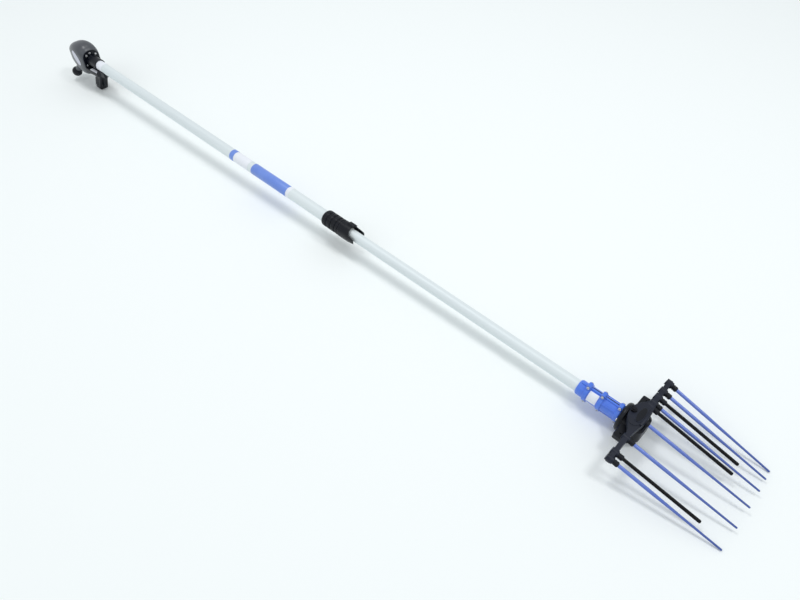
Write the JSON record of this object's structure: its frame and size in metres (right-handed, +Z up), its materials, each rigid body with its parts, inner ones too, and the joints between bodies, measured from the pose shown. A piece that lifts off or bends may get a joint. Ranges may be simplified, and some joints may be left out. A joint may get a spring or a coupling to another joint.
{
  "type": "electric olive harvester",
  "caption": "Telescopic pole with a pistol-grip motor handle, twist lock and a motor head that rocks an arched comb of long tines to shake olives off the branch.",
  "frame": {"origin": "on the ground, under the middle of the tool as it lies", "axes": "+X along the pole from the handle to the comb, +Y to the right, +Z up"},
  "size_m": [2.6942, 0.2824, 0.163],
  "materials": {
    "tube": "satin",
    "cover_grey": "satin",
    "black": "satin",
    "white_nylon": "satin",
    "light_grey": "satin",
    "blue": "gloss",
    "tine_blue": "satin",
    "tine_black": "satin",
    "rubber": "matte",
    "steel": "satin",
    "alloy": "satin",
    "magnet": "matte",
    "bronze": "satin",
    "board": "satin"
  },
  "bodies": {
    "handle": {"outer_tube": "tube", "housing_cover": "cover_grey", "front_plate": "black", "pole_socket": "cover_grey", "face_screws": "steel", "control_board": "board", "inlet_neck": "cover_grey", "inlet_cap": "black", "inlet_pins": "bronze", "grip_bracket": "black", "grip_left": "black", "grip_right": "black", "grip_screws": "steel", "trigger_pin": "steel", "micro_switch": "black", "rocker_frame": "black", "lock_sleeve": "black", "lock_collet": "white_nylon"},
    "trigger": {"trigger": "black"},
    "rocker": {"rocker_paddle": "light_grey"},
    "lock": {"lock_ring": "black"},
    "head": {"inner_tube": "tube", "guide_bush": "white_nylon", "motor_housing_left": "blue", "motor_housing_right": "blue", "housing_bolts": "steel", "motor_can": "steel", "motor_magnets": "magnet", "ring_gear": "steel", "bearing_plate": "alloy", "output_bearing": "steel", "case_flange": "black", "gear_case": "black", "case_screws": "steel", "spindle_bushes": "bronze"},
    "rotor": {"rotor_shaft": "steel"},
    "crank": {"planet_carrier": "steel", "crank_bearing": "steel"},
    "planet_1": {"planet_gear_1": "steel"},
    "planet_2": {"planet_gear_2": "steel"},
    "planet_3": {"planet_gear_3": "steel"},
    "comb": {"spindle": "steel", "fork_lever": "steel", "thrust_spacer": "white_nylon", "hub_nut": "steel", "comb_beam": "black", "tine_boots": "rubber", "blue_tine_1": "tine_blue", "blue_tine_2": "tine_blue", "blue_tine_3": "tine_blue", "blue_tine_4": "tine_blue", "blue_tine_5": "tine_blue", "blue_tine_6": "tine_blue", "black_tine_1": "tine_black", "black_tine_2": "tine_black", "black_tine_3": "tine_black"}
  },
  "joints": [
    {"name": "trigger_pull", "type": "hinge", "parent": "handle", "child": "trigger", "pos_m": [-1.16319, 0, 0.06134], "axis": [0, 1, 0], "range_deg": [0, 8], "stiffness_Nm_per_rad": 0.6, "springref_deg": -8.59},
    {"name": "rocker_tip", "type": "hinge", "parent": "handle", "child": "rocker", "pos_m": [-1.16531, -0.022, 0.08593], "axis": [-0.0697, 0.9976, 0.002], "range_deg": [-6, 6]},
    {"name": "lock_twist", "type": "hinge", "parent": "handle", "child": "lock", "pos_m": [0.13073, 0, 0.06882], "axis": [0.9996, 0, -0.0286], "range_deg": [0, 75]},
    {"name": "pole_slide", "type": "slide", "parent": "handle", "child": "head", "axis": [0.9996, 0, -0.0286], "range_m": [-0.68, 0]},
    {"name": "comb_swing", "type": "hinge", "parent": "head", "child": "comb", "pos_m": [1.05236, 0, 0.04242], "axis": [0.0286, 0, 0.9996], "range_deg": [-8.04, 8.04]},
    {"name": "crank_turn", "type": "hinge", "parent": "head", "child": "crank", "pos_m": [1.03936, 0, 0.04279], "axis": [0.9996, 0, -0.0286], "range_deg": [-60.5, 60.5]},
    {"name": "rotor_turn", "type": "hinge", "parent": "head", "child": "rotor", "pos_m": [0.99538, 0, 0.04405], "axis": [0.9996, 0, -0.0286], "range_deg": [-271, 271]},
    {"name": "planet_1_turn", "type": "hinge", "parent": "crank", "child": "planet_1", "pos_m": [0.99561, 0, 0.05215], "axis": [0.9996, 0, -0.0286], "range_deg": [-169, 169]},
    {"name": "planet_2_turn", "type": "hinge", "parent": "crank", "child": "planet_2", "pos_m": [0.99526, -0.00702, 0.04], "axis": [0.9996, 0, -0.0286], "range_deg": [-169, 169]},
    {"name": "planet_3_turn", "type": "hinge", "parent": "crank", "child": "planet_3", "pos_m": [0.99526, 0.00702, 0.04], "axis": [0.9996, 0, -0.0286], "range_deg": [-169, 169]}
  ],
  "couplings": [
    {"joint": "crank_turn", "follows": "comb_swing", "ratio": 7.461},
    {"joint": "rotor_turn", "follows": "comb_swing", "ratio": 33.574},
    {"joint": "planet_1_turn", "follows": "comb_swing", "ratio": -20.891},
    {"joint": "planet_2_turn", "follows": "comb_swing", "ratio": -20.891},
    {"joint": "planet_3_turn", "follows": "comb_swing", "ratio": -20.891}
  ]
}
